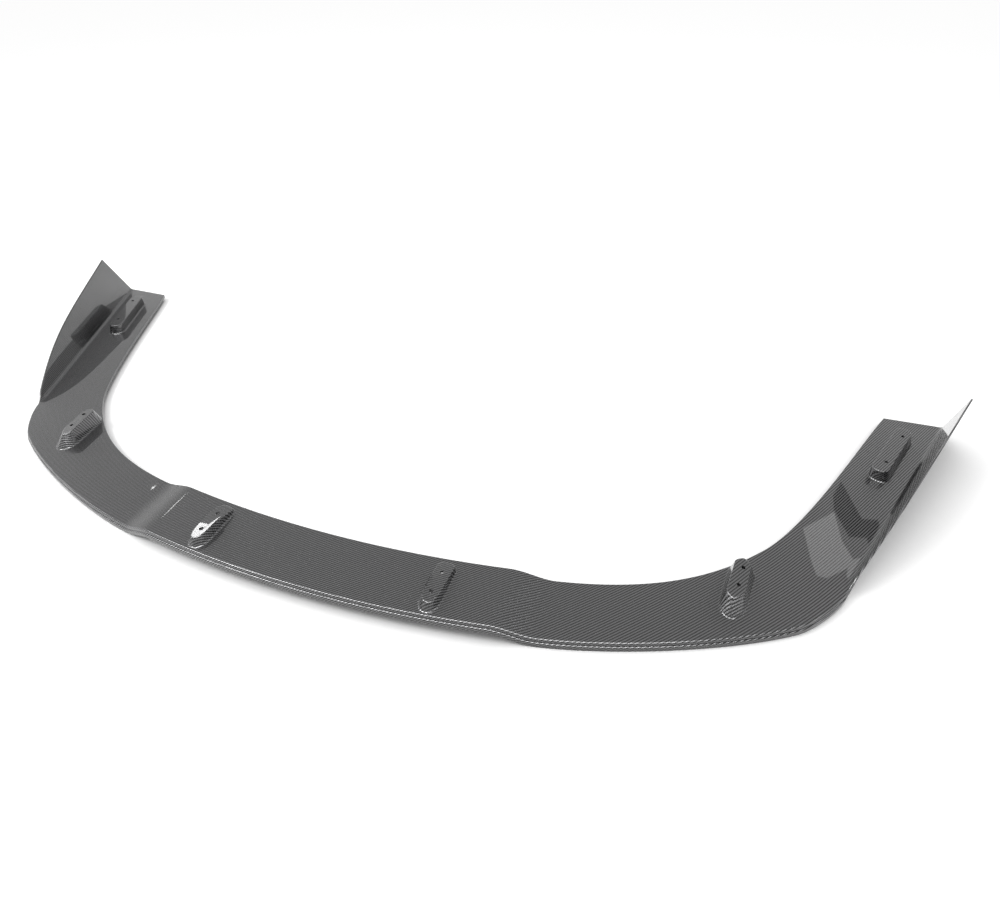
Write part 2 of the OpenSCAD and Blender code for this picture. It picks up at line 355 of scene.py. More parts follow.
class Plan:
    """The lip's edges, heights and winglet on the right half, in millimetres."""

    def __init__(self, lip):
        self.front_y = -lip.depth * 500
        self.t = lip.laminate * 1000
        self.edge_h = lip.edge_height * 1000
        self.rise = lip.middle_rise * 1000
        self.wing_h = lip.wing_height * 1000
        self.flange = self.t + BEAD_OUT
        slope_a = math.degrees(math.asin(SLOPE_X / FRONT_R))
        outer_side = np.array([SLOPE_X, self.sag(SLOPE_X) + self.front_y])
        inner_side = outer_side + [0, BLADE_W]
        corner = np.array([CORNER[0], self.front_y + CORNER[1]])
        bend = np.array([BEND[0], self.front_y + BEND[1]])
        root_front = np.array([WING_START[0], self.front_y + WING_START[1]])
        root_rear = np.array([lip.span * 500, lip.depth * 500])
        inner_rear = root_rear - [ARM_W, 0]
        self.root_l = float(np.linalg.norm(root_rear - root_front))
        self.root_dir = (root_rear - root_front) / self.root_l
        self.root_out = np.array([self.root_dir[1], -self.root_dir[0]])
        self.root_a = math.degrees(math.atan2(self.root_dir[1], self.root_dir[0]))
        self.wing_end = root_front + self.root_out * self.flange
        self.outer_side = (
            outer_side,
            outer_side + heading(slope_a) * OUTER_SIDE_REACH[0],
            corner - heading(CORNER[2]) * OUTER_SIDE_REACH[1],
            corner,
        )
        self.outer_turn = (
            corner,
            corner + heading(CORNER[2]) * OUTER_TURN_REACH,
            self.wing_end - self.root_dir * OUTER_TURN_REACH,
            self.wing_end,
        )
        self.inner_side = (
            inner_side,
            inner_side + heading(slope_a) * INNER_SIDE_REACH[0],
            bend - heading(BEND[2]) * INNER_SIDE_REACH[1],
            bend,
        )
        self.inner_arm = (
            bend,
            bend + heading(BEND[2]) * INNER_ARM_REACH[0],
            inner_rear - heading(INNER_REAR_A) * INNER_ARM_REACH[1],
            inner_rear,
        )
        self.wing_top_l = self.root_l - WING_RAKE
        tip = np.array([self.wing_top_l, self.wing_h])
        self.wing = (
            np.zeros(2),
            heading(WING_FRONT_HANDLE[0]) * WING_FRONT_HANDLE[1] * self.wing_h,
            tip - heading(WING_TIP_HANDLE[0]) * WING_TIP_HANDLE[1] * self.wing_top_l,
            tip,
        )

    def sag(self, x):
        """How far the front edge lies behind its middle."""
        return FRONT_R - math.sqrt(FRONT_R * FRONT_R - x * x)

    def top_z(self, x):
        """Height of the blade's top."""
        w = smooth((abs(x) - MIDDLE_X) / (SLOPE_X - MIDDLE_X))
        return self.edge_h + self.rise * (1 - w)

    def wing_at(self, s):
        """Length along the root and height of the winglet's top at a station."""
        return bezier(self.wing, min(1.0, max(0.0, s - 3)))

    def root_u(self, s):
        """Length along the winglet's root at a station."""
        return self.wing_at(s)[0] * self.root_l / self.wing_top_l

    def outer(self, s):
        """Point of the outer edge at a station."""
        if s <= 1:
            return np.array([s * SLOPE_X, self.sag(s * SLOPE_X) + self.front_y])
        if s <= 2:
            return bezier(self.outer_side, s - 1)
        if s <= 3:
            return bezier(self.outer_turn, s - 2)
        return self.wing_end + self.root_dir * self.root_u(s)

    def inner(self, s):
        """Point of the inner edge at a station."""
        if s <= 1:
            return self.outer(s) + [0, BLADE_W]
        if s <= 2:
            return bezier(self.inner_side, (s - 1) * INNER_CORNER)
        if s <= 3:
            return bezier(self.inner_side, INNER_CORNER + (1 - INNER_CORNER) * (s - 2))
        return bezier(self.inner_arm, self.root_u(s) / self.root_l)

    def left_of(self, edge, s, step=0.004):
        """Unit vector to the left of an edge."""
        v = edge(min(4, s + step)) - edge(max(0, s - step))
        return np.array([-v[1], v[0]]) / np.linalg.norm(v)

    def outer_in(self, s):
        return -self.root_out if s >= 3 else self.left_of(self.outer, s)

    def inner_in(self, s):
        return -self.left_of(self.inner, s)

    def stations(self, arm_steps):
        """Places of the cross-sections, counted as 0 middle, 1 end of the slope,
        2 corner, 3 front of the winglet, 4 rear end of the arm."""
        slope_w = SLOPE_X - MIDDLE_X
        flat = [MIDDLE_X / SLOPE_X * k / MIDDLE_STEPS for k in range(MIDDLE_STEPS)]
        slope = [(MIDDLE_X + slope_w * k / SLOPE_STEPS) / SLOPE_X for k in range(SLOPE_STEPS)]
        side = [1 + k / SIDE_STEPS for k in range(SIDE_STEPS)]
        turn = [2 + k / TURN_STEPS for k in range(TURN_STEPS)]
        arm = [3 + (k / arm_steps) ** ARM_GROWTH for k in range(arm_steps + 1)]
        return flat + slope + side + turn + arm


class Section:
    """One cross-section: where each of its points lies, and where it lies in the flat cloth."""

    def __init__(self, plan, s):
        self.plan = plan
        self.s = s
        self.outer, self.inner = plan.outer(s), plan.inner(s)
        self.outer_in, self.inner_in = plan.outer_in(s), plan.inner_in(s)

    def plain_edge(self):
        """Rounded top of the front edge, with as many points as wing_edge gives."""
        return round_corner((BEAD_OUT + EDGE_R, -EDGE_R), EDGE_R, 90, 180, EDGE_STEPS)

    def wing_edge(self, h):
        """Root, inner face, rounded top and outer face of a winglet of height h."""
        foot, t = self.plan.flange, self.plan.t
        r = min(ROOT_R, h * ROOT_SHARE)
        root = [
            (foot + r * (1 - up), r * (1 - along))
            for along, up in map(heading, ROOT_ANGLES)
        ]
        face = [(foot, max(r, h * share)) for share in FACE_SHARES]
        middle = (foot - t / 2, max(h, r) - t / 4)
        rounding = round_corner(middle, t / 2, 0, 180, WING_TOP_STEPS)
        back = [(BEAD_OUT, h * 0.5), (BEAD_OUT, -EDGE_R)]
        return [(x - WING_LEAN * max(0, z), z) for x, z in root + face + rounding + back]

    def upper(self):
        """Upper part of the outer edge, which grows into the winglet behind station 3."""
        plain = self.plain_edge()
        if self.s <= 3:
            return plain
        w = smooth(self.plan.root_u(self.s) / WING_BLEND)
        wing = self.wing_edge(float(self.plan.wing_at(self.s)[1]))
        return [tuple(np.array(a) * (1 - w) + np.array(b) * w) for a, b in zip(plain, wing)]

    def lower(self):
        """Face, bead and foot of the outer edge."""
        h = self.plan.edge_h
        bead = round_corner((BEAD_R, -BEAD_DROP - BEAD_R), BEAD_R, 90, 180, BEAD_STEPS)
        return (
            [(BEAD_OUT - inward, -BEAD_DROP + up) for inward, up in BEAD_SEAT]
            + bead
            + round_corner((HEEL_R, -h + HEEL_R), HEEL_R, 180, 270, HEEL_STEPS)
            + round_corner((self.plan.flange - HEM_R, -h + HEM_R), HEM_R, 270, 360, HEM_STEPS)
            + [(self.plan.flange, -self.plan.t)]
        )

    def rim(self):
        """Rim that hangs from the inner edge."""
        t = self.plan.t
        under, outside = RIM_CHAMFER
        return (
            [(t, -t), (t, -RIM + under), (t - under, -RIM), (outside, -RIM), (0, -RIM + outside)]
            + round_corner((RIM_R, -RIM_R), RIM_R, 180, 90, RIM_STEPS)
        )

    def slant(self, z):
        """How far forward of its root a point of the winglet lies."""
        if self.s <= 3 or z <= 0:
            return 0.0
        return WING_RAKE * z / self.plan.wing_h * self.plan.root_u(self.s) / self.plan.root_l

    def place(self, flat, z):
        """Point in space for a plan point and a height over the blade."""
        return (flat[0], flat[1], self.plan.top_z(flat[0]) + z)

    def points(self):
        """Closed row of (place, place in the flat cloth), from the inner edge's top outward."""
        upper, lower, rim = self.upper(), self.lower(), self.rim()
        start = self.inner + self.inner_in * RIM_R
        end = self.outer + self.outer_in * upper[0][0]
        across = [start + (end - start) * k / TOP_COLUMNS for k in range(TOP_COLUMNS)]
        out = [(self.place(p, 0), p) for p in across]
        run = 0.0
        before = upper[0]
        for q in upper + lower:
            run += math.dist(before, q)
            before = q
            p = self.outer + self.outer_in * q[0]
            shown = p - self.plan.root_dir * self.slant(q[1])
            out.append((self.place(shown, q[1]), end - self.outer_in * run))
        last = self.outer + self.outer_in * self.plan.flange
        first = self.inner + self.inner_in * rim[0][0]
        reach = end - self.outer_in * (run + self.plan.flange)
        for k in range(1, UNDER_COLUMNS):
            p = last + (first - last) * k / UNDER_COLUMNS
            out.append((self.place(p, -self.plan.t), 2 * reach - end - (p - last)))
        run = sum(math.dist(a, b) for a, b in zip(rim, rim[1:]))
        before = rim[0]
        for q in rim:
            run -= math.dist(before, q)
            before = q
            p = self.inner + self.inner_in * q[0]
            out.append((self.place(p, q[1]), start - self.inner_in * run))
        return out


class Cloth:
    """Lays the flat cloth along the lip, turning a little at the corners."""

    def __init__(self, plan):
        s = np.linspace(0, 4, CLOTH_STEPS + 1)
        mid = np.array([(plan.outer(k) + plan.inner(k)) / 2 for k in s])
        last = mid[-1] - mid[-2]
        reach = np.arange(1, CLOTH_TAIL + 1) * CLOTH_TAIL_STEP
        tail = mid[-1] + np.outer(reach, last) / np.linalg.norm(last)
        self.mid = np.vstack([mid, tail])
        turn = np.interp(s, CLOTH_PLACES, CLOTH_TURNS)
        self.turn = np.radians(np.concatenate([turn, np.full(CLOTH_TAIL, turn[-1])]))
        step = np.diff(self.mid, axis=0)
        a = (self.turn[1:] + self.turn[:-1]) / 2
        u = np.column_stack([
            np.cos(a) * step[:, 0] + np.sin(a) * step[:, 1],
            -np.sin(a) * step[:, 0] + np.cos(a) * step[:, 1],
        ])
        self.flat = np.vstack([[0, 0], np.cumsum(u, axis=0)])

    def at(self, p):
        """Place in the cloth, in metres, for a plan point in millimetres."""
        side = -1 if p[0] < 0 else 1
        q = np.array([abs(p[0]), p[1]])
        seg = self.mid[1:] - self.mid[:-1]
        t = np.clip(((q - self.mid[:-1]) * seg).sum(1) / (seg * seg).sum(1), 0, 1)
        if q[0] < CLOTH_MIDDLE:
            t[0] = ((q - self.mid[0]) * seg[0]).sum() / (seg[0] * seg[0]).sum()
        near = self.mid[:-1] + seg * t[:, None]
        i = int(((near - q) ** 2).sum(1).argmin())
        a = self.turn[i] * (1 - t[i]) + self.turn[i + 1] * t[i]
        d = q - near[i]
        base = self.flat[i] * (1 - t[i]) + self.flat[i + 1] * t[i]
        u = base[0] + math.cos(a) * d[0] + math.sin(a) * d[1]
        v = base[1] - math.sin(a) * d[0] + math.cos(a) * d[1]
        return side * u / 1000, v / 1000


class Pod:
    """A hollow pod, with y along it.

    size is length, width and height. foot and top give the reach of the nose, the
    reach of the tail and the power of their curves. draft is the walls' lean in
    degrees. For each millimetre of height, rakes are how far nose and tail lean
    back, shift is how far the walls lean sideways and skew how far the nose turns.
    crease is where it starts, its angle, and the top's fall before and behind it.
    fall is the top's fall to one side, and holes are the screws' places.
    """

    def __init__(
        self, at, turn, size, foot, top, draft, rakes, shift, skew,
        crease, fall, holes, cloth_turn=0,
    ):
        self.at, self.turn, self.size = at, turn, size
        self.foot, self.top = np.array(foot), np.array(top)
        self.draft = math.tan(math.radians(draft))
        self.rakes, self.shift, self.skew = rakes, shift, skew
        self.crease, self.fall, self.holes = crease, fall, holes
        self.cloth_turn = cloth_turn

    def rim_point(self, end, side, turn, inset, up):
        """Point round the nose (end 0) or the tail (end 1), 0 degrees at its middle."""
        along, out = heading(turn)
        w = up / (self.size[2] - FOOT_R)
        ends = self.foot * (1 - w) + self.top * w
        power = ends[2]
        x = side * (self.size[1] / 2 - inset) * out**power
        back = ends[end] * (1 - max(along, 0.0) ** power)
        if end == 0:
            y = inset - self.size[0] / 2 + self.rakes[0] * up + back
            y += self.skew * x * up
        else:
            y = self.size[0] / 2 - inset - self.rakes[1] * up - back
        return np.array([x - self.shift * up, y])

    def top_at(self, p):
        """Height of the top over the blade."""
        fall = math.radians(self.fall)
        before, after = self.crease[2:]
        off = self.off_crease(p)
        slope = math.radians(before) if off < 0 else -math.radians(after)
        g = off * math.tan(slope)
        return self.size[2] - p[0] * math.tan(fall) + g * math.cos(fall)

    def off_crease(self, p):
        """Distance of a point of the top behind the crease."""
        start, turn = self.crease[:2]
        line = heading(turn)
        x = p[0] / math.cos(math.radians(self.fall))
        return -line[1] * x + line[0] * (p[1] - start)

    def ring(self, height):
        """Row of points round the pod; height gives (inset, height) for a plan point."""
        def settle(end, side, turn):
            z = self.size[2] * SETTLE_START
            for _ in range(SETTLE_ROUNDS):
                first = height((0, 0), z)[0]
                p = self.rim_point(end, side, turn, first, max(0, z - FOOT_R))
                inset, z = height(p, z)
            p = self.rim_point(end, side, turn, inset, max(0, z - FOOT_R))
            return (p[0], p[1], z)

        turns = [90 * k / POD_STEPS for k in range(POD_STEPS + 1)]
        nose_r = [settle(0, 1, t) for t in turns]
        tail_r = [settle(1, 1, t) for t in turns]
        nose_l = [settle(0, -1, t) for t in turns]
        tail_l = [settle(1, -1, t) for t in turns]
        return nose_r, tail_r, nose_l, tail_l

    def loop(self, height, crossings):
        """Closed row of points round the pod, with a point where the crease meets each side."""
        nose_r, tail_r, nose_l, tail_l = self.ring(height)

        def between(a, b, f):
            return tuple(np.array(a) * (1 - f) + np.array(b) * f)

        right = between(nose_r[-1], tail_r[-1], crossings[0])
        left = between(nose_l[-1], tail_l[-1], crossings[1])
        return nose_r + [right] + tail_r[::-1] + tail_l[1:] + [left] + nose_l[:0:-1]

    def crossings(self):
        """Share of each straight side at which the crease crosses it."""
        nose_r, tail_r, nose_l, tail_l = self.ring(lambda p, z: self.on_top(p, z, 0))
        out = []
        for a, b in ((nose_r[-1], tail_r[-1]), (nose_l[-1], tail_l[-1])):
            da, db = self.off_crease(a), self.off_crease(b)
            out.append(da / (da - db))
        return out

    def on_top(self, p, z, drop):
        """Inset and height of the wall's upper end, drop below the outer skin."""
        inset = FOOT_R + max(0.0, z - FOOT_R) * self.draft
        return inset + drop, self.top_at(p) - drop / math.cos(math.radians(self.fall))


def lip_pods(plan):
    """The three pods of the right half, each at a station and a share of the way across."""
    def place(s, across):
        return plan.outer(s) * (1 - across) + plan.inner(s) * across

    middle = Pod(
        at=place(181.5 / SLOPE_X, 0.49), turn=0, size=(90, 34, 13.5),
        foot=(30, 11.33, 0.8), top=(30, 11.33, 0.8),
        draft=15, rakes=(0.25, 0), shift=0, skew=0,
        crease=(-2, 28, 0, 10), fall=3, holes=(-18, 19),
    )
    corner = Pod(
        at=place(1.88, 0.65), turn=8, size=(104, 40, 23),
        foot=(30.16, 16, 0.9), top=(14.56, 11.2, 1.4),
        draft=16, rakes=(0.53, 0.01), shift=0.1, skew=0.024,
        crease=(15, 54, 2.7, 0.5), fall=7.5, holes=(-8.67, 24.33), cloth_turn=-8,
    )
    rear = Pod(
        at=place(3.79, 0.5), turn=90 - plan.root_a, size=(158, 37, 19),
        foot=(15.9, 15.9, 0.8), top=(15.9, 15.9, 0.8),
        draft=9, rakes=(0, 0), shift=0.15, skew=0,
        crease=(0, 0, 0, 0), fall=0, holes=(-42.66, 48.34),
    )
    return middle, corner, rear


class LipMaker:
    """Builds the lip's mesh with bmesh operators."""

    def __init__(self, lip):
        self.plan = Plan(lip)
        self.lip = lip
        self.cloth = Cloth(self.plan)
        self.bm = bmesh.new()
        self.weave = self.bm.loops.layers.uv.new("Weave")
        self.level = self.bm.faces.layers.int.new("level")

    def to_world(self, p):
        """Point in metres."""
        return Vector((p[0] / 1000, p[1] / 1000, p[2] / 1000))

    def blade(self):
        """Moves a grid onto the cross-sections of both halves and welds it round."""
        bm = self.bm
        half = self.plan.stations(self.lip.arm_steps)
        rows = [Section(self.plan, s).points() for s in half]
        stations = [(-1, k) for k in range(len(half) - 1, 0, -1)]
        stations += [(1, k) for k in range(len(half))]
        nx, ny = len(stations) - 1, len(rows[0])
        made = bmesh.ops.create_grid(bm, x_segments=nx, y_segments=ny, size=1)["verts"]
        place_no = bm.faces.layers.int.new("cell")
        cell, laid = {}, {}
        for v in made:
            i = round((v.co.x + 1) / 2 * nx)
            j = round((v.co.y + 1) / 2 * ny)
            side, k = stations[i]
            place, cloth = rows[k][j % ny]
            v.co = self.to_world((side * place[0], place[1], place[2]))
            laid[v] = self.cloth.at((side * cloth[0], cloth[1]))
            cell[v] = (i, j)
        for f in bm.faces:
            i, j = (min(cell[v][way] for v in f.verts) for way in (0, 1))
            f[place_no] = i * CELL_ROW + j
            for loop in f.loops:
                loop[self.weave].uv = laid[loop.vert]
        seam = [v for v in made if cell[v][1] in (0, ny)]
        bmesh.ops.remove_doubles(bm, verts=seam, dist=WELD)
        self.cells = {divmod(f[place_no], CELL_ROW): f for f in bm.faces}
        section = Section(self.plan, 0)
        self.under_first = TOP_COLUMNS + len(section.upper()) + len(section.lower()) - 1
        self.close_ends([e for e in bm.edges if e.is_boundary])

    def close_ends(self, edges):
        """Fills the rear ends of the arms."""
        for side in (1, -1):
            ring = [e for e in edges if e.verts[0].co.x * side > 0]
            way = Vector((self.plan.root_dir[0] * side, self.plan.root_dir[1], 0))
            for f in self.fill(ring, way):
                for loop in f.loops:
                    loop[self.weave].uv = (loop.vert.co.x, loop.vert.co.z)

    def fill(self, edges, normal):
        """Fills closed rows of edges with triangles and returns the new faces."""
        made = bmesh.ops.triangle_fill(self.bm, use_beauty=True, edges=edges, normal=normal)
        return [f for f in made["geom"] if isinstance(f, bmesh.types.BMFace)]

    def fill_flat(self, edges, turn=0.0, about=(0, 0)):
        """Fills a flat face that may hold loops, and lays the cloth on it."""
        c, k = math.cos(math.radians(turn)), math.sin(math.radians(turn))
        for f in self.fill(edges, (0, 0, 1)):
            f[self.level] = 1
            for loop in f.loops:
                x = loop.vert.co.x * 1000 - about[0]
                y = loop.vert.co.y * 1000 - about[1]
                turned = (about[0] + (c * x - k * y), about[1] + (k * x + c * y))
                loop[self.weave].uv = self.cloth.at(turned)

    def open_patch(self, near, first, last, loop_xy):
        """Takes out the blade's faces round a pod and returns the edges of the opening."""
        picked = []
        for (i, j), f in self.cells.items():
            if not f.is_valid or not first <= j < last:
                continue
            c = f.calc_center_median() * 1000
            if math.dist(c[:2], near) > PATCH_REACH:
                continue
            xs = [v.co.x * 1000 for v in f.verts]
            ys = [v.co.y * 1000 for v in f.verts]
            if self.touches(loop_xy, xs, ys):
                picked.append((i, j))
        columns, rows = ([cell[way] for cell in picked] for way in (0, 1))
        faces = [
            self.cells[(i, j)]
            for i in range(min(columns), max(columns) + 1)
            for j in range(min(rows), max(rows) + 1)
        ]
        chosen = set(faces)
        border = [
            e for f in faces for e in f.edges
            if sum(g in chosen for g in e.link_faces) == 1
        ]
        bmesh.ops.delete(self.bm, geom=faces, context="FACES")
        return list(dict.fromkeys(border))

    def touches(self, loop_xy, xs, ys):
        """Whether a face lies inside a pod's outline or close to it."""
        cx, cy = sum(xs) / len(xs), sum(ys) / len(ys)
        d = np.min(np.hypot(loop_xy[:, 0] - cx, loop_xy[:, 1] - cy))
        reach = max(math.dist((cx, cy), (x, y)) for x, y in zip(xs, ys))
        return d < reach + PATCH_GROW or self.inside(loop_xy, cx, cy)

    def inside(self, loop_xy, x, y):
        """Whether a point lies inside a closed row of points."""
        a, b = loop_xy, np.roll(loop_xy, -1, 0)
        level = (a[:, 1] > y) != (b[:, 1] > y)
        run, rise = b[:, 0] - a[:, 0], b[:, 1] - a[:, 1] + 1e-12
        hit = level & (x < run * (y - a[:, 1]) / rise + a[:, 0])
        return bool(hit.sum() % 2)

    def keep_on_blade(self, p):
        """Moves a foot point that would reach over the inner edge back onto the blade."""
        d = self.inner_table - np.array([abs(p[0]), p[1]])
        i = int((d * d).sum(1).argmin())
        away = -float((d[i] * self.inner_ways[i]).sum())
        short = RIM_R + EDGE_ROOM - away
        if short <= 0:
            return p
        q = np.array([abs(p[0]), p[1]]) + self.inner_ways[i] * short
        return (math.copysign(q[0], p[0]), q[1])

    def ring_of(self, count):
        """A ring of vertices, to be placed."""
        verts = bmesh.ops.create_circle(self.bm, segments=count, radius=1, cap_ends=False)["verts"]
        verts.sort(key=lambda v: math.atan2(v.co.y, v.co.x))
        return verts

    def ring_edges(self, verts):
        """Edges of a ring, in order."""
        return [self.bm.edges.get(pair) for pair in zip(verts, verts[1:] + verts[:1])]

    def bridge(self, lower, upper):
        """Joins two rings with faces."""
        edges = self.ring_edges(lower) + self.ring_edges(upper)
        return bmesh.ops.bridge_loops(self.bm, edges=edges)["faces"]

    def pod(self, pod, side):
        """One pod: foot, walls, creased top, screw holes and the hollow below."""
        a = math.radians(pod.turn)
        blade = self.plan.top_z(pod.at[0])
        share = pod.crossings()

        def out(p):
            x = pod.at[0] + p[0] * math.cos(a) + p[1] * math.sin(a)
            y = pod.at[1] - p[0] * math.sin(a) + p[1] * math.cos(a)
            return (side * x, y)

        foot, rim = self.outer_walls(pod, out, blade, share)
        self.patch(out, 0, TOP_COLUMNS, foot)
        tops = self.creased(pod, out, rim, blade, 0, pod.cloth_turn * side)
        mouth, ceiling = self.inner_walls(pod, out, blade, share)
        self.patch(out, self.under_first, UNDER_COLUMNS, mouth)
        unders = self.creased(pod, out, ceiling, blade, self.plan.t, 0)
        holes = []
        for upper, lower in zip(tops, unders):
            self.bridge(upper, lower)
            holes.append(self.ring_edges(upper))
        self.round_off(self.ring_edges(rim), self.lip.pod_edge, POD_EDGE_STEPS)
        for edges in holes:
            self.round_off(edges, HOLE_EDGE, HOLE_EDGE_STEPS)

    def outer_walls(self, pod, out, blade, share):
        """Foot rounding and walls. Returns their lowest and highest rings."""
        foot = [
            (FOOT_R * up, FOOT_R * (1 - along)) for along, up in map(heading, FOOT_ANGLES)
        ]
        loops = [pod.loop(lambda p, z, f=f: f, share) for f in foot]
        loops.append(pod.loop(lambda p, z: pod.on_top(p, z, 0), share))
        rings, where = [], {}
        run = np.zeros(len(loops[0]))
        for k, points in enumerate(loops):
            verts = self.ring_of(len(points))
            placed = []
            for v, p in zip(verts, points):
                x, y = out(p)
                if k < len(foot):
                    x, y = self.keep_on_blade((x, y))
                placed.append((x, y, p[2]))
                v.co = self.to_world((x, y, p[2] + blade))
            placed = np.array(placed)
            if k == 0:
                start = flat = placed[:, :2].copy()
            else:
                run = run + np.sqrt(((placed - before) ** 2).sum(1))
                way = placed[:, :2] - start
                way /= np.maximum(np.linalg.norm(way, axis=1), 1e-9)[:, None]
                flat = start + way * run[:, None]
            before = placed
            rings.append(verts)
            where.update(zip(verts, map(tuple, flat)))
        for lower, upper in zip(rings, rings[1:]):
            for f in self.bridge(lower, upper):
                for loop in f.loops:
                    loop[self.weave].uv = self.cloth.at(where[loop.vert])
        return rings[0], rings[-1]

    def inner_walls(self, pod, out, blade, share):
        """Walls of the hollow. Returns their lowest and highest rings."""
        t = self.plan.t
        loops = [pod.loop(lambda p, z: (FOOT_R + t, z0), share) for z0 in (-t, FOOT_R)]
        loops.append(pod.loop(lambda p, z: pod.on_top(p, z, t), share))
        rings = []
        for points in loops:
            verts = self.ring_of(len(points))
            for v, p in zip(verts, points):
                x, y = out(p)
                if points is not loops[-1]:
                    x, y = self.keep_on_blade((x, y))
                v.co = self.to_world((x, y, p[2] + blade))
            rings.append(verts)
        for lower, upper in zip(rings, rings[1:]):
            for f in self.bridge(lower, upper):
                for loop in f.loops:
                    co = loop.vert.co * 1000
                    loop[self.weave].uv = self.cloth.at((co.x, co.y + co.z))
        return rings[0], rings[-1]

    def patch(self, out, first, columns, ring):
        """Opens the blade round a pod's ring and joins the ring to it."""
        border = self.open_patch(out((0, 0)), first, first + columns, plan_of(ring))
        self.fill_flat(border + self.ring_edges(ring))

    def round_off(self, edges, radius, segments):
        made = bmesh.ops.bevel(
            self.bm, geom=edges, offset=radius, offset_type="OFFSET",
            segments=segments, profile=0.5, affect="EDGES", material=-1,
        )
        for f in made["faces"]:
            f[self.level] = 0

    def creased(self, pod, out, ring, blade, drop, turn):
        """Fills a pod's top on both sides of its crease and leaves the screw holes open."""
        down = drop / math.cos(math.radians(pod.fall))
        right, left = POD_STEPS + 1, 3 * POD_STEPS + 3
        ends = [ring[right], ring[left]]
        crease = bmesh.ops.contextual_create(self.bm, geom=ends)["edges"][0]
        crease.smooth = False
        holes = []
        for y in pod.holes:
            verts = self.ring_of(HOLE_STEPS)
            for v in verts:
                p = (v.co.x * HOLE_R, v.co.y * HOLE_R + y)
                v.co = self.to_world((*out(p), pod.top_at(p) - down + blade))
            holes.append(verts)
        edges = self.ring_edges(ring)
        front, rear = edges[:right] + edges[left:], edges[right:left]
        for part, hole in zip((front, rear), holes):
            self.fill_flat(part + [crease] + self.ring_edges(hole), turn, out((0, 0)))
        return holes

    def finish(self):
        """Smooth faces, sharp edges, and the finished mesh."""
        bm = self.bm
        bmesh.ops.recalc_face_normals(bm, faces=bm.faces)
        for f in bm.faces:
            f.smooth = f[self.level] == 0
        for e in bm.edges:
            if len(e.link_faces) == 2 and e.calc_face_angle(0) > math.radians(SHARP_ANGLE):
                e.smooth = False
        mesh = bpy.data.meshes.new("lip_shell")
        bm.to_mesh(mesh)
        bm.free()
        return mesh

    def make(self):
        """Blade first, then the three pods on both sides."""
        self.blade()
        s = np.linspace(0, 4, EDGE_TABLE)
        self.inner_table = np.array([self.plan.inner(k) for k in s])
        self.inner_ways = np.array([self.plan.inner_in(k) for k in s])
        for pod in lip_pods(self.plan):
            for side in (1, -1):
                self.pod(pod, side)
        return self.finish()


def plan_of(ring):
    """Plan points of a ring, in millimetres."""
    return np.array([(v.co.x * 1000, v.co.y * 1000) for v in ring])


class Nodes:
    """Short words for building a node tree."""

    # Sockets of a Mix node: first value, second value and result
    MIX_SOCKETS = {"FLOAT": (2, 3, 0), "VECTOR": (4, 5, 1), "RGBA": (6, 7, 2)}

    def __init__(self, tree):
        self.tree = tree
        tree.nodes.clear()

    def add(self, kind, **values):
        """A node, with its properties and inputs set by name."""
        node = self.tree.nodes.new(kind)
        for key, value in values.items():
            if hasattr(node, key):
                setattr(node, key, value)
            else:
                node.inputs[key.replace("_", " ")].default_value = value
        return node

    def link(self, a, b):
        self.tree.links.new(a, b)

    def put(self, socket, value):
        """Sets a socket to a value, or links it where the value is a socket."""
        if isinstance(value, bpy.types.NodeSocket):
            self.link(value, socket)
        else:
            socket.default_value = value

    def math(self, operation, *values):
        node = self.add("ShaderNodeMath", operation=operation)
        for socket, value in zip(node.inputs, values):
            self.put(socket, value)
        return node.outputs[0]

    def mix(self, kind, factor, a, b):
        """a where factor is 0 and b where it is 1."""
        first, second, result = self.MIX_SOCKETS[kind]
        node = self.add("ShaderNodeMix", data_type=kind)
        for number, value in ((0, factor), (first, a), (second, b)):
            self.put(node.inputs[number], value)
        return node.outputs[result]


def weave_material(weave):
    """Twill of dark fibre bundles with painted sheen in their two colours, under a glossy clear
    coat.
    """
    mat = bpy.data.materials.new("woven_laminate")
    mat.use_nodes = True
    n = Nodes(mat.node_tree)
    uv = n.add("ShaderNodeUVMap", uv_map="Weave")
    split = n.add("ShaderNodeSeparateXYZ")
    n.link(uv.outputs[0], split.inputs[0])
    x = n.math("DIVIDE", split.outputs[0], weave.tow)
    y = n.math("DIVIDE", split.outputs[1], weave.tow)
    step = n.math("SUBTRACT", n.math("FLOOR", x), n.math("FLOOR", y))
    step = n.math("FLOORED_MODULO", step, TWILL_REPEAT)
    along = n.math("LESS_THAN", step, TWILL_ALONG)

    shader = n.add("ShaderNodeBsdfPrincipled")
    # Base colour: the fibres' dark tone, with painted sheen that makes the bundles along the lip
    # lighter than those across
    fibre_and_sheen_tone = n.mix("RGBA", along, (*weave.across, 1), (*weave.along, 1))
    n.link(fibre_and_sheen_tone, shader.inputs["Base Color"])
    n.link(sheen_way(n, along), shader.inputs["Tangent"])
    n.link(relief(n, weave, along, x, y), shader.inputs["Normal"])
    rough = n.math("MULTIPLY_ADD", along, -weave.smoother, weave.roughness)
    n.link(rough, shader.inputs["Roughness"])
    shader.inputs["Metallic"].default_value = 1.0
    shader.inputs["Anisotropic"].default_value = weave.anisotropy
    shader.inputs["Coat Weight"].default_value = 1.0
    shader.inputs["Coat Roughness"].default_value = weave.coat_roughness
    out = n.add("ShaderNodeOutputMaterial")
    n.link(shader.outputs[0], out.inputs[0])
    return mat


def sheen_way(n, along):
    """Direction of the fibres in each bundle."""
    u_way = n.add("ShaderNodeTangent", direction_type="UV_MAP", uv_map="Weave")
    geo = n.add("ShaderNodeNewGeometry")
    v_way = n.add("ShaderNodeVectorMath", operation="CROSS_PRODUCT")
    n.link(geo.outputs["Normal"], v_way.inputs[0])
    n.link(u_way.outputs[0], v_way.inputs[1])
    return n.mix("VECTOR", along, v_way.outputs[0], u_way.outputs[0])


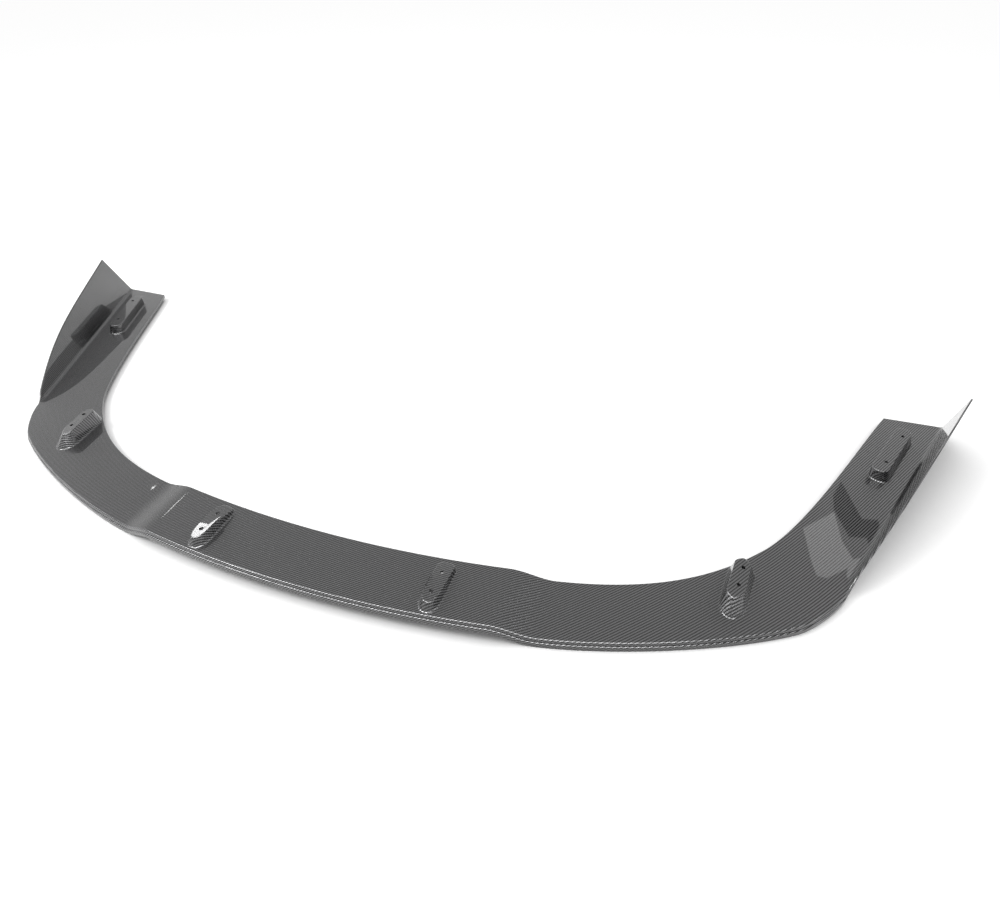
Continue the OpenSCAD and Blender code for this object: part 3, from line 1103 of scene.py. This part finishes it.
def relief(n, weave, along, x, y):
    """Rounded back of each bundle, as a bump."""
    back_x, back_y = (
        n.math("SINE", n.math("MULTIPLY", n.math("FRACT", part), math.pi))
        for part in (x, y)
    )
    bump = n.add("ShaderNodeBump", Distance=weave.relief)
    n.link(n.mix("FLOAT", along, back_x, back_y), bump.inputs["Height"])
    return bump.outputs[0]


class SPLITTER_OT_lip(Operator):
    """Build the lip from its sections and pods"""

    bl_idname = "splitter.lip"
    bl_label = "Lip"

    def execute(self, context):
        mesh = LipMaker(context.scene.splitter_lip).make()
        lip = bpy.data.objects.new("lip_shell", mesh)
        context.scene.collection.objects.link(lip)
        mesh.materials.append(weave_material(context.scene.splitter_weave))
        level = lip.modifiers.new("flat_normals", "WEIGHTED_NORMAL")
        level.keep_sharp = True
        level.weight = NORMAL_WEIGHT
        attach(lip, "root")
        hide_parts(LIP)
        return {"FINISHED"}


class SPLITTER_OT_stage(Operator):
    """Build the floor, the lights and the camera"""

    bl_idname = "splitter.stage"
    bl_label = "Stage"

    def execute(self, context):
        scene = context.scene
        settings = scene.splitter_stage
        scene.view_settings.view_transform = "Standard"
        self.lay_floor(settings)
        self.light_room(scene, settings)
        self.softbox(scene, *LEFT_BOX)
        self.softbox(scene, *TOP_BOX).visible_glossy = False
        self.softbox(scene, *EDGE_BOX).visible_diffuse = False
        for card in (LIGHT_CARD, DARK_CARD, FACET_CARD):
            self.card(scene, settings, *card)
        self.place_camera(scene, settings)
        return {"FINISHED"}

    def lay_floor(self, settings):
        """Pale floor that shows white away from the lip, with painted shadow that darkens it close
        to the lip.
        """
        bpy.ops.mesh.primitive_plane_add(size=FLOOR_SIZE, location=(0, 0, 0))
        floor = bpy.context.active_object
        floor.name = "floor"
        mat = bpy.data.materials.new("floor_paint")
        mat.use_nodes = True
        n = Nodes(mat.node_tree)
        paint = n.add("ShaderNodeBsdfDiffuse")
        paint.inputs[0].default_value = (settings.floor, settings.floor, settings.floor, 1)
        # Painted contact shadow: the floor's glow fades with ambient occlusion close to the lip
        open_to = n.add(
            "ShaderNodeAmbientOcclusion", samples=SHADOW_SAMPLES, Distance=SHADOW_REACH)
        painted_shadow = n.math("POWER", open_to.outputs["AO"], SHADOW_POWER)
        glow = n.add("ShaderNodeEmission")
        n.link(n.math("MULTIPLY", painted_shadow, settings.glow), glow.inputs[1])
        both = n.add("ShaderNodeAddShader")
        n.link(paint.outputs[0], both.inputs[0])
        n.link(glow.outputs[0], both.inputs[1])
        out = n.add("ShaderNodeOutputMaterial")
        n.link(self.by_ray(n, paint, both), out.inputs[0])
        floor.data.materials.append(mat)

    def light_room(self, scene, settings):
        """World that lights the lip evenly and shows white."""
        world = bpy.data.worlds.new("studio")
        scene.world = world
        world.use_nodes = True
        n = Nodes(world.node_tree)
        sky, white = n.add("ShaderNodeBackground"), n.add("ShaderNodeBackground")
        for shader in (sky, white):
            shader.inputs[0].default_value = (1, 1, 1, 1)
        sky.inputs[1].default_value = settings.sky
        out = n.add("ShaderNodeOutputWorld")
        n.link(self.by_ray(n, sky, white), out.inputs[0])

    def place_camera(self, scene, settings):
        """Camera of the photograph."""
        cam = bpy.data.cameras.new("camera")
        cam.lens = settings.lens
        cam.sensor_width = SENSOR
        cam.clip_start = 0.02
        view = bpy.data.objects.new("camera", cam)
        scene.collection.objects.link(view)
        view.location = settings.camera_at
        view.rotation_euler = (math.radians(90 - PITCH), 0, math.radians(YAW))
        scene.camera = view

    def by_ray(self, n, hidden, shown):
        """Shows one shader to what the camera sees, and lights with the other."""
        mix = n.add("ShaderNodeMixShader")
        n.link(self.seen(n), mix.inputs[0])
        n.link(hidden.outputs[0], mix.inputs[1])
        n.link(shown.outputs[0], mix.inputs[2])
        return mix.outputs[0]

    def seen(self, n):
        """1 for what the camera sees, straight, in a gloss or through glass."""
        path = n.add("ShaderNodeLightPath")
        gloss = n.math("MAXIMUM", path.outputs["Is Camera Ray"], path.outputs["Is Glossy Ray"])
        return n.math("MAXIMUM", gloss, path.outputs["Is Transmission Ray"])

    def card(self, scene, settings, name, level, at, lean, reach, outline):
        """A flat card that a face of the lip mirrors at the given picture points.
        The face goes through at and leans to the left."""
        normal = Vector((-math.sin(math.radians(lean)), 0, math.cos(math.radians(lean))))
        turn = Euler((math.radians(90 - PITCH), 0, math.radians(YAW))).to_matrix()
        eye = Vector(settings.camera_at)
        width, height = PICTURE
        bm = bmesh.new()
        made = bmesh.ops.create_circle(bm, segments=len(outline), radius=1, cap_ends=True)
        for v, (x, y) in zip(made["verts"], outline):
            right = (x - width / 2) / width * SENSOR
            up = (height / 2 - y) / width * SENSOR
            way = turn @ Vector((right, up, -settings.lens))
            way.normalize()
            foot = eye + way * ((Vector(at) - eye).dot(normal) / way.dot(normal))
            v.co = foot + way.reflect(normal) * reach
        mesh = bpy.data.meshes.new(name)
        bm.to_mesh(mesh)
        bm.free()
        panel = bpy.data.objects.new(name, mesh)
        scene.collection.objects.link(panel)
        mat = bpy.data.materials.new(name)
        mat.use_nodes = True
        n = Nodes(mat.node_tree)
        shine = n.add("ShaderNodeEmission")
        shine.inputs[1].default_value = level
        out = n.add("ShaderNodeOutputMaterial")
        n.link(shine.outputs[0], out.inputs[0])
        mesh.materials.append(mat)
        panel.visible_camera = False
        panel.visible_diffuse = False
        panel.visible_shadow = False

    def softbox(self, scene, name, place, target, size, power):
        """A flat lamp that points at its target."""
        light = bpy.data.lights.new(name, "AREA")
        light.shape = "RECTANGLE"
        light.size, light.size_y = size
        light.energy = power
        lamp = bpy.data.objects.new(name, light)
        scene.collection.objects.link(lamp)
        lamp.location = place
        way = Vector(target) - Vector(place)
        lamp.rotation_euler = way.to_track_quat("-Z", "Y").to_euler()
        lamp.visible_camera = False
        return lamp


class SPLITTER_PT_panel(Panel):
    """Shows a button for each of the lip's operators in the sidebar"""

    bl_idname = "SPLITTER_PT_panel"
    bl_label = "Splitter lip"
    bl_space_type = "VIEW_3D"
    bl_region_type = "UI"
    bl_category = "Splitter"

    def draw(self, context):
        column = self.layout.column()
        for operator in OPERATORS:
            column.operator(operator.bl_idname)


OPERATORS = (SPLITTER_OT_lip, SPLITTER_OT_stage)
CLASSES = (LipSettings, WeaveSettings, StageSettings, *OPERATORS, SPLITTER_PT_panel)


def register():
    for cls in CLASSES:
        bpy.utils.register_class(cls)
    bpy.types.Scene.splitter_lip = PointerProperty(type=LipSettings)
    bpy.types.Scene.splitter_weave = PointerProperty(type=WeaveSettings)
    bpy.types.Scene.splitter_stage = PointerProperty(type=StageSettings)


def unregister():
    del bpy.types.Scene.splitter_lip
    del bpy.types.Scene.splitter_weave
    del bpy.types.Scene.splitter_stage
    for cls in reversed(CLASSES):
        bpy.utils.unregister_class(cls)


def main():
    register()
    bpy.ops.splitter.lip()
    bpy.ops.splitter.stage()


if __name__ == "__main__":
    main()
